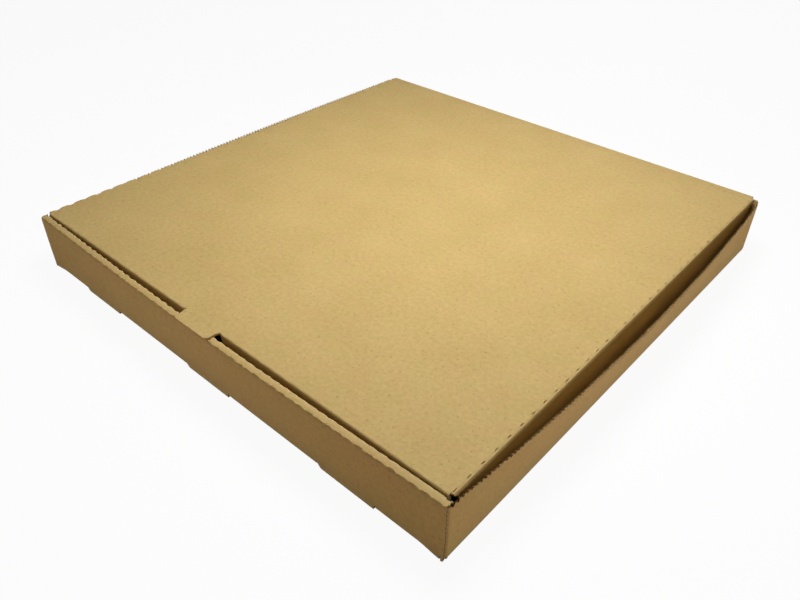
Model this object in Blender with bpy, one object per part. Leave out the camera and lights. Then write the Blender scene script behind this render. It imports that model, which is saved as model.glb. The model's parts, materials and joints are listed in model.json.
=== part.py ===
# A plain kraft pizza box, closed: one die-cut sheet of thin corrugated board, folded up without glue.
# +X runs along the front wall, the front wall faces -Y, +Z is up, and the base's underside lies at z = 0
# with its middle at the origin. Each half of the sheet is drawn as the middle surface of the board,
# panel by panel and crease by crease, and then given the board's thickness.
import math

import bmesh
import bpy
from mathutils import Matrix, Vector

# Board and play, in metres
BOARD = 0.0016
PLAY = 0.0003
CREASE_INSIDE = 0.0002
MERGE = 0.00001

# Box outside, in metres
BOX_WIDTH = 0.410
BOX_DEPTH = 0.410
TRAY_HEIGHT = 0.0462
CORNER_RELIEF = 0.0008

# Front wall: roll-over panel, lock tabs and the slots that they drop into
FRONT_CREASE_INSIDE = 0.0022
FRONT_BOW = 0.0030
SLOT_LENGTH = 0.0480
SLOT_SPACING = 0.1315
SLOT_COUNT = 3
SLOT_PLAY = 0.0004
SLOT_SHOULDER = 0.0035
SLOT_KERF = 0.0005
TAB_END_PLAY = 0.0010
TAB_TAPER = 0.0020
FOOT_LIFT = 0.0001
INNER_PANEL_SHORT = 0.0004

# Side walls and the corner flaps at their ends
RIGHT_BOW = 0.0095
LEFT_BOW = 0.0040
SIDE_DROP = 0.0004
SIDE_TOP_RAMP = 0.0040
CORNER_FLAP_LENGTH = 0.0620
CORNER_FLAP_ROUND = 0.0080
CORNER_FLAP_LIFT = 0.0045
STRIP_PLAY = 0.0007

# Lid, its flaps and the crease that it turns on
LID_FRONT_INSET = 0.0015
LID_BACK_INSET = 0.0044
LID_FRONT_PLAY = 0.0004
LID_END_GAP = 0.0005
LID_RELIEF_RADIUS = 0.0018
TUCK_DEPTH = 0.0380
TUCK_LEAN = math.radians(5)
TUCK_END_GAP = 0.0015
TUCK_CORNER = 0.0180
SIDE_FLAP_DEPTH = 0.0370
SIDE_FLAP_LEAN = math.radians(3)
SIDE_FLAP_FRONT_GAP = 0.0020
SIDE_FLAP_REAR_GAP = 0.0025
SIDE_FLAP_FRONT_SLANT = 0.0300
SIDE_FLAP_REAR_SLANT = 0.0120
SIDE_FLAP_CORNER = 0.0060

# Perforations that help the lid's side creases to bend, and how far the crease buckles at each
SLIT_PITCH = 0.0118
SLIT_CUT = 0.0036
SLIT_WIDTH = 0.00030
SLIT_INSET = 0.00015
SLIT_BUCKLE = 0.00010

# Thumb tab, cut out of the tuck flap
THUMB_LENGTH = 0.0104
THUMB_ROOT_WIDTH = 0.0370
THUMB_TIP_WIDTH = 0.0340
THUMB_SHIFT = -0.0020
THUMB_CORNER = 0.0032
THUMB_CUT = 0.0006

# Finish: how finely curves are drawn, and the board's look
COLUMNS_ALONG = 32
FLAP_COLUMNS = 4
CREASE_STEPS = 3
CORNER_STEPS = 4
BEAD_STEPS = 4
BOW_POWER_SHARE = 0.75
KRAFT = (0.54, 0.38, 0.19, 1.0)
KRAFT_ROUGHNESS = 0.85
SMOOTH_UP_TO = math.radians(35)

# Worked out from the sizes above
MIDDLE = BOARD / 2
CREASE = CREASE_INSIDE + MIDDLE
FRONT_CREASE = FRONT_CREASE_INSIDE + MIDDLE
SIDE_X = BOX_WIDTH / 2 - MIDDLE
OUTER_Y = -BOX_DEPTH / 2 + MIDDLE
LAYER = BOARD + PLAY
FLAP_Y = OUTER_Y + LAYER
INNER_Y = FLAP_Y + LAYER
BACK_Y = BOX_DEPTH / 2 - MIDDLE
STRIP_Z = TRAY_HEIGHT - MIDDLE
SIDE_TOP = TRAY_HEIGHT - SIDE_DROP
LID_Z = TRAY_HEIGHT + PLAY + MIDDLE
PIVOT = Vector((0, BACK_Y, LID_Z))
WALL_FRONT = FLAP_Y + CREASE
WALL_BACK = BACK_Y - LAYER - CREASE
WALL_FOOT = MIDDLE + CREASE
BASE_SIDE_X = SIDE_X - CREASE
BASE_FRONT_Y = OUTER_Y + FRONT_CREASE
SLOT_BACK_Y = INNER_Y + MIDDLE + SLOT_PLAY
FRONT_FOLD_END = BASE_SIDE_X - CORNER_RELIEF
FRONT_END_X = BOX_WIDTH / 2
PANEL_BOTTOM = MIDDLE + FRONT_CREASE
INNER_END_X = SIDE_X - MIDDLE - INNER_PANEL_SHORT
INNER_BOTTOM = BOARD + PLAY
UNDER_STRIP_Z = STRIP_Z - MIDDLE - STRIP_PLAY
LID_FRONT_Y = INNER_Y + MIDDLE + LID_FRONT_PLAY + MIDDLE
LID_REAR_Y = BACK_Y - MIDDLE - LID_END_GAP
LID_FRONT_X = BOX_WIDTH / 2 - LID_FRONT_INSET - MIDDLE
LID_BACK_X = BOX_WIDTH / 2 - LID_BACK_INSET - MIDDLE
HINGE_END_X = LID_BACK_X - CREASE


def clear_scene():
    for item in list(bpy.data.objects):
        bpy.data.objects.remove(item, do_unlink=True)


def board_material(name):
    material = bpy.data.materials.new(name)
    material.use_nodes = True
    surface = material.node_tree.nodes["Principled BSDF"]
    surface.inputs["Base Color"].default_value = KRAFT
    surface.inputs["Roughness"].default_value = KRAFT_ROUGHNESS
    surface.inputs["Metallic"].default_value = 0
    return material


def spread(start, end, count):
    # Evenly spaced values from start to end, both included
    return [start + (end - start) * step / count for step in range(count + 1)]


def crease_points(corner, toward_a, toward_b, radius):
    # Points round a crease, from the panel that runs toward_a to the one that runs toward_b;
    # corner is where the two flat middle surfaces would meet
    turn = math.pi - toward_a.angle(toward_b)
    inward = (toward_b - toward_a * toward_b.dot(toward_a)).normalized()
    start = corner + toward_a * radius * math.tan(turn / 2)
    centre = start + inward * radius
    angles = spread(0, turn, CREASE_STEPS)
    return [centre - inward * radius * math.cos(a) - toward_a * radius * math.sin(a) for a in angles]


def round_corner(corner, before, after, radius):
    # Points round a flat outline's corner, coming from the point before and going to the point after
    to_before = (before - corner).normalized()
    to_after = (after - corner).normalized()
    half = to_before.angle(to_after) / 2
    reach = min(radius / math.tan(half), (before - corner).length, (after - corner).length)
    radius = reach * math.tan(half)
    centre = corner + (to_before + to_after).normalized() * radius / math.sin(half)
    start = corner + to_before * reach - centre
    end = corner + to_after * reach - centre
    turn = start.angle(end)
    points = []
    for share in spread(0, 1, CORNER_STEPS):
        sweep = start * math.sin((1 - share) * turn) + end * math.sin(share * turn)
        points.append(centre + sweep / math.sin(turn))
    return points


class Sheet:
    # The middle surface of one piece of board, gathered face by face
    def __init__(self):
        self.mesh = bmesh.new()

    def face(self, points):
        self.mesh.faces.new([self.mesh.verts.new(point) for point in points])

    def loft(self, rows):
        # Joins neighbouring rows of points, which have the same count, with four-sided faces
        for near, far in zip(rows, rows[1:]):
            for step in range(len(near) - 1):
                self.face([near[step], near[step + 1], far[step + 1], far[step]])

    def to_object(self, name):
        bmesh.ops.remove_doubles(self.mesh, verts=self.mesh.verts, dist=MERGE)
        bmesh.ops.recalc_face_normals(self.mesh, faces=self.mesh.faces)
        data = bpy.data.meshes.new(name)
        self.mesh.to_mesh(data)
        self.mesh.free()
        data.shade_smooth()
        data.set_sharp_from_angle(angle=SMOOTH_UP_TO)
        item = bpy.data.objects.new(name, data)
        bpy.context.scene.collection.objects.link(item)
        thickness = item.modifiers.new("board", "SOLIDIFY")
        thickness.thickness = BOARD
        thickness.offset = 0
        thickness.use_even_offset = True
        item.data.materials.append(board_material(name + "_board"))
        return item


def rise(z):
    # Share of the wall's height at which z lies: 0 at the base, 1 at the top strip
    return (z - MIDDLE) / (STRIP_Z - MIDDLE)


def front_point(x, y, z):
    # The front wall's top springs outward between its ends
    along = min(max(x / (2 * SIDE_X) + 0.5, 0), 1)
    return Vector((x, y - FRONT_BOW * math.sin(math.pi * along) * rise(z), z))


def side_point(side, y, z, x=SIDE_X):
    # A side wall's top springs outward between the corner flaps that hold its ends
    bow = RIGHT_BOW if side > 0 else LEFT_BOW
    along = min(max((y - WALL_FRONT) / (WALL_BACK - WALL_FRONT), 0), 1)
    return Vector((side * (x + bow * math.sin(math.pi * along) ** BOW_POWER_SHARE * rise(z)), y, z))


def slot_spans():
    # Left and right end of each slot in the base
    middle = (SLOT_COUNT - 1) / 2
    centres = [(number - middle) * SLOT_SPACING for number in range(SLOT_COUNT)]
    return [(centre - SLOT_LENGTH / 2, centre + SLOT_LENGTH / 2) for centre in centres]


def front_stations():
    # Where the front wall is divided along its length: evenly, and at the ends of the slots
    cuts = (0, SLOT_KERF, TAB_END_PLAY)
    ends = [left + cut for left, right in slot_spans() for cut in cuts]
    ends += [right - cut for left, right in slot_spans() for cut in cuts]
    even = spread(-INNER_END_X, INNER_END_X, COLUMNS_ALONG)
    spacing = 2 * INNER_END_X / COLUMNS_ALONG
    clear = [x for x in even if min(abs(x - end) for end in ends) > spacing / 3]
    return sorted(set(clear + ends + [-FRONT_FOLD_END, FRONT_FOLD_END, -FRONT_END_X, FRONT_END_X]))


def in_slot(x_from, x_to):
    middle = (x_from + x_to) / 2
    return any(left < middle < right for left, right in slot_spans())


def roll_over_profile(x):
    # From the outer panel's foot, over the top strip, to the inner panel's foot
    up, down = Vector((0, 0, 1)), Vector((0, 0, -1))
    back, front = Vector((0, 1, 0)), Vector((0, -1, 0))
    outer = crease_points(Vector((x, OUTER_Y, STRIP_Z)), down, back, CREASE)
    inner = crease_points(Vector((x, INNER_Y, STRIP_Z)), front, down, CREASE)
    points = [Vector((x, OUTER_Y, PANEL_BOTTOM))] + outer + inner + [Vector((x, INNER_Y, INNER_BOTTOM))]
    return [front_point(p.x, p.y, p.z) for p in points]


def front_wall(sheet):
    stations = front_stations()
    inside = [x for x in stations if abs(x) <= INNER_END_X + MERGE]
    sheet.loft([roll_over_profile(x) for x in inside])
    for end in (-1, 1):
        # Past the inner panel's end the outer panel goes on with the top strip, and stands on the floor
        ends = (end * INNER_END_X, end * FRONT_END_X)
        sheet.loft([roll_over_profile(x)[:-1] for x in ends])
        sheet.loft([[front_point(x, OUTER_Y, z) for z in (FOOT_LIFT, PANEL_BOTTOM)] for x in ends])
    for near, far in zip(stations, stations[1:]):
        if not in_slot(near, far) and max(abs(near), abs(far)) <= FRONT_FOLD_END + MERGE:
            sheet.loft([bottom_crease(near), bottom_crease(far)])
    for left, right in slot_spans():
        lip = [x for x in stations if left + SLOT_KERF <= x <= right - SLOT_KERF]
        sheet.face([front_point(x, OUTER_Y, PANEL_BOTTOM) for x in reversed(lip)] + slot_lip(left, right))
        root = [x for x in stations if left + TAB_END_PLAY <= x <= right - TAB_END_PLAY]
        sheet.face([front_point(x, INNER_Y, INNER_BOTTOM) for x in reversed(root)] + lock_tab(left, right))


def bottom_crease(x):
    corner = Vector((x, OUTER_Y, MIDDLE))
    points = crease_points(corner, Vector((0, 1, 0)), Vector((0, 0, 1)), FRONT_CREASE)
    return [front_point(p.x, p.y, p.z) for p in points]


def slot_lip(left, right):
    # Raw lower edge of the outer panel in a slot: an S-shaped shoulder on the left, a straight cut right
    start, end = left + SLOT_KERF, right - SLOT_KERF
    drop = PANEL_BOTTOM - FOOT_LIFT
    shares = spread(0, 1, CORNER_STEPS)[1:]
    shoulder = [(start + SLOT_SHOULDER * s, PANEL_BOTTOM - drop * s * s * (3 - 2 * s)) for s in shares]
    return [front_point(x, OUTER_Y, z) for x, z in shoulder + [(end, FOOT_LIFT)]]


def lock_tab(left, right):
    # The tab drops through the slot to the underside of the base
    taper = TAB_END_PLAY + TAB_TAPER
    return [front_point(x, INNER_Y, FOOT_LIFT) for x in (left + taper, right - taper)]


def side_stations():
    return spread(WALL_FRONT + CORNER_RELIEF, WALL_BACK - CORNER_RELIEF, COLUMNS_ALONG)


def side_top(y):
    # The wall's raw top edge steps down at the front, where the roll-over strip passes above it
    reach = y - (INNER_Y + MIDDLE + PLAY)
    share = min(max(reach / SIDE_TOP_RAMP, 0), 1)
    return UNDER_STRIP_Z + (SIDE_TOP - UNDER_STRIP_Z) * share


def side_wall(sheet, side):
    stations = side_stations()
    inward, up = Vector((-side, 0, 0)), Vector((0, 0, 1))
    folds = [crease_points(Vector((side * SIDE_X, y, MIDDLE)), inward, up, CREASE) for y in stations]
    sheet.loft([[side_point(side, p.y, p.z, side * p.x) for p in fold] for fold in folds])
    sheet.loft([[side_point(side, y, WALL_FOOT), side_point(side, y, side_top(y))] for y in stations])
    for end, y_end, y_near in ((-1, WALL_FRONT, stations[0]), (1, WALL_BACK, stations[-1])):
        flap_top = flap_height(end)
        column = [WALL_FOOT, CORNER_FLAP_LIFT, flap_top, side_top(y_end)]
        outline = [side_point(side, y_end, z) for z in column if z <= side_top(y_end)]
        outline += [side_point(side, y_near, side_top(y_near)), side_point(side, y_near, WALL_FOOT)]
        sheet.face(outline)
        corner_flap(sheet, side, end, y_end, flap_top)


def flap_height(end):
    # Top of a corner flap: under the roll-over strip in front, just under the lid at the back
    return UNDER_STRIP_Z if end < 0 else SIDE_TOP - MIDDLE


def corner_flap(sheet, side, end, y_end, flap_top):
    # Folded in from the side wall's end: in front into the roll-over wall, behind against the back wall
    y_flap = y_end + end * CREASE
    toward_wall, inward = Vector((0, -end, 0)), Vector((-side, 0, 0))
    corners = [Vector((side * SIDE_X, y_flap, z)) for z in (CORNER_FLAP_LIFT, flap_top)]
    creases = [crease_points(corner, toward_wall, inward, CREASE) for corner in corners]
    sheet.loft([[flap_point(end, point) for point in crease] for crease in creases])
    tip = BASE_SIDE_X - CORNER_FLAP_LENGTH
    columns = [(x, 0) for x in spread(BASE_SIDE_X, tip + CORNER_FLAP_ROUND, FLAP_COLUMNS)]
    for angle in spread(0, math.pi / 2, CORNER_STEPS)[1:]:
        reach, inset = 1 - math.sin(angle), 1 - math.cos(angle)
        columns.append((tip + CORNER_FLAP_ROUND * reach, CORNER_FLAP_ROUND * inset))
    spans = [(x, (CORNER_FLAP_LIFT + inset, flap_top - inset)) for x, inset in columns]
    sheet.loft([[flap_point(end, Vector((side * x, y_flap, z))) for z in heights] for x, heights in spans])


def flap_point(end, point):
    # The front corner flaps follow the front wall's bow
    return front_point(point.x, point.y, point.z) if end < 0 else point


def back_stations():
    return [-BASE_SIDE_X + CORNER_RELIEF, BASE_SIDE_X - CORNER_RELIEF]


def back_wall(sheet):
    # Ends in the middle of the crease that the lid turns on, lower past the lid's corners
    ends = back_stations()
    front, up = Vector((0, -1, 0)), Vector((0, 0, 1))
    sheet.loft([crease_points(Vector((x, BACK_Y, MIDDLE)), front, up, CREASE) for x in ends])
    bead_top = LID_Z + MIDDLE
    half = [(ends[1], WALL_FOOT), (SIDE_X, WALL_FOOT), (SIDE_X, SIDE_TOP), (HINGE_END_X, SIDE_TOP)]
    half.append((HINGE_END_X, bead_top))
    outline = half + [(-x, z) for x, z in reversed(half)]
    sheet.face([Vector((x, BACK_Y, z)) for x, z in outline])


def base(sheet):
    front = []
    stations = [x for x in front_stations() if abs(x) <= FRONT_FOLD_END + MERGE]
    slots = slot_spans()
    for x in stations:
        span = next((span for span in slots if span[0] <= x <= span[1]), None)
        if span is None:
            front.append((x, BASE_FRONT_Y))
        elif x == span[0]:
            front += [(x, BASE_FRONT_Y), (x, SLOT_BACK_Y)]
        elif x == span[1]:
            front += [(x, SLOT_BACK_Y), (x, BASE_FRONT_Y)]
    sides = side_stations()
    right = [(BASE_SIDE_X, y) for y in sides]
    back = [(x, BACK_Y - CREASE) for x in reversed(back_stations())]
    left = [(-BASE_SIDE_X, y) for y in reversed(sides)]
    sheet.face([Vector((x, y, MIDDLE)) for x, y in front + right + back + left])


def round_hinge_bead(item):
    # Rounds the back wall's top edge fully, about the hinge line
    view = item.evaluated_get(bpy.context.evaluated_depsgraph_get())
    solid = bpy.data.meshes.new_from_object(view)
    work = bmesh.new()
    work.from_mesh(solid)
    edges = [edge for edge in work.edges if is_hinge_edge(edge)]
    offset = MIDDLE - MERGE
    bmesh.ops.bevel(work, geom=edges, offset=offset, segments=BEAD_STEPS, affect="EDGES", profile=0.5)
    work.to_mesh(solid)
    work.free()
    item.modifiers.clear()
    item.data = solid


def is_hinge_edge(edge):
    ends = [vert.co for vert in edge.verts]
    at_top = all(abs(point.z - PIVOT.z - MIDDLE) < MERGE and point.y > BACK_Y - BOARD for point in ends)
    return at_top and abs(ends[0].x - ends[1].x) > BOARD


def build_tray():
    sheet = Sheet()
    base(sheet)
    front_wall(sheet)
    for side in (-1, 1):
        side_wall(sheet, side)
    back_wall(sheet)
    round_hinge_bead(sheet.to_object("tray"))


def lid_side_x(y):
    # The lid is a little wider in front than at the crease it turns on
    share = (y - LID_FRONT_Y) / (LID_REAR_Y - LID_FRONT_Y)
    return LID_FRONT_X + (LID_BACK_X - LID_FRONT_X) * share


def flap_down(outward, lean):
    # Direction down a flap that hangs from the lid's edge and leans in
    return (Vector((0, 0, -1)) * math.cos(lean) - outward * math.sin(lean)).normalized()


def lid_crease(corner, outward, lean):
    return crease_points(corner, -outward, flap_down(outward, lean), CREASE)


def side_outward(side):
    # Level direction square to the lid's side crease, pointing out of the box
    along = Vector((side * (LID_BACK_X - LID_FRONT_X), LID_REAR_Y - LID_FRONT_Y, 0)).normalized()
    return Vector((side * along.y, -side * along.x, 0))


def lid_side_stations():
    # Places along the side crease, each with True where a perforation starts or ends there,
    # and evenly spaced places between two perforations
    start, end = LID_FRONT_Y + SIDE_FLAP_FRONT_GAP, LID_REAR_Y - SIDE_FLAP_REAR_GAP
    count = max(round((end - start) / SLIT_PITCH), 1)
    pitch = (end - start) / count
    cut = min(SLIT_CUT, pitch / 2)
    stations = [(start, False)]
    for number in range(count):
        near = start + number * pitch + (pitch - cut) / 2
        stations += [(near, True), (near + cut, True), (start + (number + 1) * pitch, False)]
    return stations


def side_crease(side, y, at_slit):
    # Points over the crease, after two on the panel beside it, between which the perforations are cut
    outward = side_outward(side)
    points = lid_crease(Vector((side * lid_side_x(y), y, LID_Z)), outward, SIDE_FLAP_LEAN)
    if at_slit:
        middle = (points[0] + points[-1]) / 2
        points[1:-1] = [point + (middle - point).normalized() * SLIT_BUCKLE for point in points[1:-1]]
    near, far = points[0] - outward * SLIT_INSET, points[0] - outward * (SLIT_INSET + SLIT_WIDTH)
    return [far, near] + points


def side_flap(sheet, side):
    outward = side_outward(side)
    stations = lid_side_stations()
    rows = [side_crease(side, y, at_slit) for y, at_slit in stations]
    for near, far, (_, near_cut), (_, far_cut) in zip(rows, rows[1:], stations, stations[1:]):
        first = 1 if near_cut and far_cut else 0
        sheet.loft([near[first:], far[first:]])
    down = flap_down(outward, SIDE_FLAP_LEAN)
    top = [row[-1] for row in rows]
    along = (top[-1] - top[0]).normalized()
    length = (top[-1] - top[0]).length
    outline = [
        (0, 0),
        (SIDE_FLAP_FRONT_SLANT, SIDE_FLAP_DEPTH),
        (length - SIDE_FLAP_REAR_SLANT, SIDE_FLAP_DEPTH),
        (length, 0),
    ]
    flap = [top[0] + along * reach + down * depth for reach, depth in outline]
    lower = round_corner(flap[1], flap[0], flap[2], SIDE_FLAP_FRONT_SLANT)
    lower += round_corner(flap[2], flap[1], flap[3], SIDE_FLAP_CORNER)
    sheet.face(lower + list(reversed(top)))
    first_row, last_row = rows[0], rows[-1]
    return [first_row[2], first_row[1]] + [row[0] for row in rows] + [last_row[1], last_row[2]]


def thumb_outline():
    # The thumb tab from its left root round to its right root, in the lid's plane
    root = THUMB_ROOT_WIDTH / 2
    tip = THUMB_TIP_WIDTH / 2
    root_y = LID_FRONT_Y + CREASE
    tip_y = root_y - CREASE - THUMB_LENGTH
    outline = ((-root, root_y), (-tip, tip_y), (tip, tip_y), (root, root_y))
    corners = [Vector((x + THUMB_SHIFT, y, LID_Z)) for x, y in outline]
    left = round_corner(corners[1], corners[0], corners[2], THUMB_CORNER)
    right = round_corner(corners[2], corners[1], corners[3], THUMB_CORNER)
    return [corners[0]] + left + right + [corners[3]]


def tuck_stations():
    # The tuck flap's crease runs on both sides of the thumb tab
    end = LID_FRONT_X - CREASE - TUCK_END_GAP + MIDDLE
    root = THUMB_ROOT_WIDTH / 2 + THUMB_CUT
    half = max(COLUMNS_ALONG // 2, 1)
    return spread(-end, THUMB_SHIFT - root, half), spread(THUMB_SHIFT + root, end, half)


def tuck_flap(sheet):
    outward = Vector((0, -1, 0))
    down = flap_down(outward, TUCK_LEAN)
    left, right = tuck_stations()
    tops = []
    for stations in (left, right):
        rows = [lid_crease(Vector((x, LID_FRONT_Y, LID_Z)), outward, TUCK_LEAN) for x in stations]
        sheet.loft(rows)
        tops.append([row[-1] for row in rows])
    top_left, top_right = tops
    cut = THUMB_LENGTH + THUMB_CUT
    notch = [top_left[-1], top_left[-1] + down * cut, top_right[0] + down * cut, top_right[0]]
    left_round = round_corner(notch[1], notch[0], notch[2], THUMB_CORNER)
    right_round = round_corner(notch[2], notch[1], notch[3], THUMB_CORNER)
    notch = [notch[0]] + left_round + right_round + [notch[3]]
    outer_right, outer_left = top_right[-1], top_left[0]
    corners = [outer_right, outer_right + down * TUCK_DEPTH, outer_left + down * TUCK_DEPTH, outer_left]
    foot = round_corner(corners[1], corners[0], corners[2], TUCK_CORNER)
    foot += round_corner(corners[2], corners[1], corners[3], TUCK_CORNER)
    sheet.face(top_left[:-1] + notch + top_right[1:] + foot)
    return left, right


def lid_panel(sheet, right_edge, left_edge, left, right):
    front_y = LID_FRONT_Y + CREASE * math.tan((math.pi / 2 + TUCK_LEAN) / 2)
    front = [Vector((x, front_y, LID_Z)) for x in left] + thumb_outline()
    front += [Vector((x, front_y, LID_Z)) for x in right]
    rear = [Vector((x, LID_REAR_Y, LID_Z)) for x in (HINGE_END_X, -HINGE_END_X)]
    corner = corner_relief(front_y)
    mirrored = [Vector((-point.x, point.y, point.z)) for point in reversed(corner)]
    sheet.face(mirrored + front + corner + right_edge + rear + list(reversed(left_edge)))


def corner_relief(front_y):
    # Round bite out of the lid's front corner, where its two creases would meet
    rise_in = math.asin((front_y - LID_FRONT_Y) / LID_RELIEF_RADIUS)
    side_in = math.asin(CREASE / LID_RELIEF_RADIUS)
    angles = spread(rise_in, math.pi / 2 - side_in, CORNER_STEPS)
    reach = LID_RELIEF_RADIUS
    corner = Vector((LID_FRONT_X, LID_FRONT_Y, LID_Z))
    return [corner + Vector((-math.cos(angle), math.sin(angle), 0)) * reach for angle in angles]


def build_lid():
    sheet = Sheet()
    left, right = tuck_flap(sheet)
    right_edge = side_flap(sheet, 1)
    left_edge = side_flap(sheet, -1)
    lid_panel(sheet, right_edge, left_edge, left, right)
    lid = sheet.to_object("lid")
    lid.data.transform(Matrix.Translation(-PIVOT))
    lid.location = PIVOT


def main():
    clear_scene()
    build_tray()
    build_lid()


main()
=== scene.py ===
import json
import math
import bpy
import numpy as np
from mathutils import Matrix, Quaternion, Vector


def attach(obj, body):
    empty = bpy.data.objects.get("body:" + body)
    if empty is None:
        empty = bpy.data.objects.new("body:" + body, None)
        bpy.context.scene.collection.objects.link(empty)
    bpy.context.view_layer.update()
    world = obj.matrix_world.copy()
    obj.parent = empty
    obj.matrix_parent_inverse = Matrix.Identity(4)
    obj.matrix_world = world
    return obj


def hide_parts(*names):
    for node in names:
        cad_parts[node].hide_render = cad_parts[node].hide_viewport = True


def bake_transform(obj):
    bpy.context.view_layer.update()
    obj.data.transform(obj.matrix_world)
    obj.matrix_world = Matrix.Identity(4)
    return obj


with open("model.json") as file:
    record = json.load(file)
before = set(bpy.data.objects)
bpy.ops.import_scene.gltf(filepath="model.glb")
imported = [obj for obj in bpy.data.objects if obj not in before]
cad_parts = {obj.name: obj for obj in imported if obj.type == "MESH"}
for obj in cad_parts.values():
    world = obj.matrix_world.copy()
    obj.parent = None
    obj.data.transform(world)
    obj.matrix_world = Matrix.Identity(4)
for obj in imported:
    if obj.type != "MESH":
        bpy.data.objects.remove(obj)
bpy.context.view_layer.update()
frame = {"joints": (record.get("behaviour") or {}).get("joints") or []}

# A kraft pizza box: one die-cut sheet of thin corrugated board, drawn here as real board, with two
# liners, the wavy paper between them and creases that buckle between their perforations.
# Lengths are in millimetres, and become metres where a mesh is written.
hingeSpot = np.array(frame["joints"][0]["pos_m"]) * 1000
metre = 0.001
slack = 1e-4   # lengths that differ by less count as the same
right, back, up = np.eye(3)
join = np.concatenate

board = {
    "thickness": 1.6, "liner": 0.25, "medium": 0.30, "flutePitch": 3.4, "grooveDepth": 1.2,
    "shallow": 0.1,   # a groove no deeper than this gets no painted shade
    "creaseInside": 0.2,
    "baseFold": 0.6,   # radius of the middle of the creases round the base
    "sharpFold": 0.07,   # the same where the board is crushed into a sharp fold
    "crushed": 0.74,   # how much thinner the board gets inside such a fold
    "squareness": 0.9,   # how nearly the outside of such a fold is a square corner
    "play": 0.3,
    "flatBand": 0.98,   # flat board beside each crease, so that the panel beyond shades flat
    "cell": 12.0,   # coarse squares of the flat panels
    "rowHeight": 9.0,   # rows of the front wall
    "fineRow": 0.25,   # rows over a small crease and beside a sharp one
    "foldSteps": 6, "sharpSteps": 5,
    "creaseMark": 1.6,   # how widely a base crease is marked
    "weldSize": 0.002,
    "sharpFrom": 42,   # degrees between two faces that shade as an edge
    "wobble": 0.12,   # how far a cut edge strays, in a wave of these radians for each mm of u and v
    "strayWave": (1.9, 2.7),
    "strayBend": (3.0, 0.23, -0.31),   # how far a slower wave bends it, and the radians of that one
    "nibble": 0.6,   # how far an edge is chewed back at each flute that it crosses
    "longestMitre": 1.2,   # smaller lets a corner's point reach further
}
half = board["thickness"] / 2
cornerFold = board["creaseInside"] + half
baseFold, sharp, band = board["baseFold"], board["sharpFold"], board["flatBand"]
quarter = math.pi / 2

# Where the panels lie, worked out from the hinge
backY, lidZ = hingeSpot[1], hingeSpot[2]
sideX, outerY = backY, -backY
flapY = outerY + board["thickness"] + board["play"]
innerY = flapY + board["thickness"] + board["play"]
trayHeight = lidZ - half - board["play"]
stripZ = trayHeight - half
footZ = half + baseFold


def ease(low, high, x):
    # 0 below low and 1 above high, with a smooth S between them
    t = np.clip((x - low) / (high - low), 0, 1)
    return t * t * (3 - 2 * t)


def bell(middle, width, x):
    # 1 at the middle, falling to nothing some widths away
    return np.exp(-((x - middle) / width) ** 2)


def through(keys, spacing):
    # Stations that meet every key, evenly spaced between two keys at about the spacing
    runs = [np.linspace(a, b, max(1, round((b - a) / spacing)) + 1) for a, b in zip(keys, keys[1:])]
    return np.unique(join(runs))


def stations(*parts):
    # One rising row of stations from single ones and runs of them, without doubles
    joined = join([np.atleast_1d(part) for part in parts])
    return joined[join([[True], np.diff(joined) > slack / 10])]


def sawtooth(along, pitch, lean):
    # A soft saw: rises slowly and drops back quickly once in each pitch, from 0 to 1
    turn = 2 * math.pi * along / pitch
    return 0.5 - 0.5 * np.cos(turn + lean * np.sin(turn))


def uneven(share, phase):
    # A strength between 1 - 2 * share and 1: 1 - share + share * sin(phase)
    return 1 - share + share * np.sin(phase)


def fluteWave(v):
    # Height of the wavy paper from -1 to 1, where v is the place on the flat sheet across the flutes
    return np.sin(2 * math.pi * v / board["flutePitch"])


def folded(origin, out, normal, distance, folds):
    # Points and normals of a strip that starts at origin, runs out, and turns away from its normal. Each fold
    # is (its start along the board, its turn, its radius). Each step is its chord, in its middle heading.
    angle = sum(np.sign(turn) * np.clip((distance - start) / radius, 0, abs(turn))
                for start, turn, radius in folds)
    heading = (angle[1:] + angle[:-1]) / 2
    chord = np.diff(distance) * np.sinc(np.diff(angle) / (2 * math.pi))
    path, fall = (join([[0], np.cumsum(chord * wave(heading))]) for wave in (np.cos, np.sin))
    normals = np.cos(angle)[:, None] * normal + np.sin(angle)[:, None] * out
    return origin + path[:, None] * out - fall[:, None] * normal, normals


def sharpStations(start, turn):
    # Stations over a sharp fold
    return start + sharp * turn * np.linspace(0, 1, board["sharpSteps"] + 1)


def crushed(distance, *folds):
    # The inside of sharp folds is pressed in: fully over each arc, fading out on both sides
    share = 0
    for start, turn in folds:
        end = start + sharp * turn
        share = np.maximum(share, np.interp(distance, [start - band, start, end, end + band], [0, 1, 1, 0]))
    return -board["crushed"] * share


def squared(distance, *folds):
    # The outside of sharp folds keeps a square corner: half * (1 / cos of the turn from the nearer panel - 1)
    rise = 0
    for start, turn in folds:
        angle = np.clip((distance - start) / sharp, 0, turn)
        rise = rise + half * (1 / np.cos(np.minimum(angle, turn - angle)) - 1)
    return board["squareness"] * rise


def swept(profile, stretch, way):
    # The profile at every station of a stretch
    return profile + stretch[:, None, None] * way


def place(x, y, z):
    # One point for each cell of the arrays x, y and z
    return np.stack(np.broadcast_arrays(x, y, z), axis=-1).astype(float)


def addItem(name, data):
    item = bpy.data.objects.new(name, data)
    bpy.context.scene.collection.objects.link(item)
    return item


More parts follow.
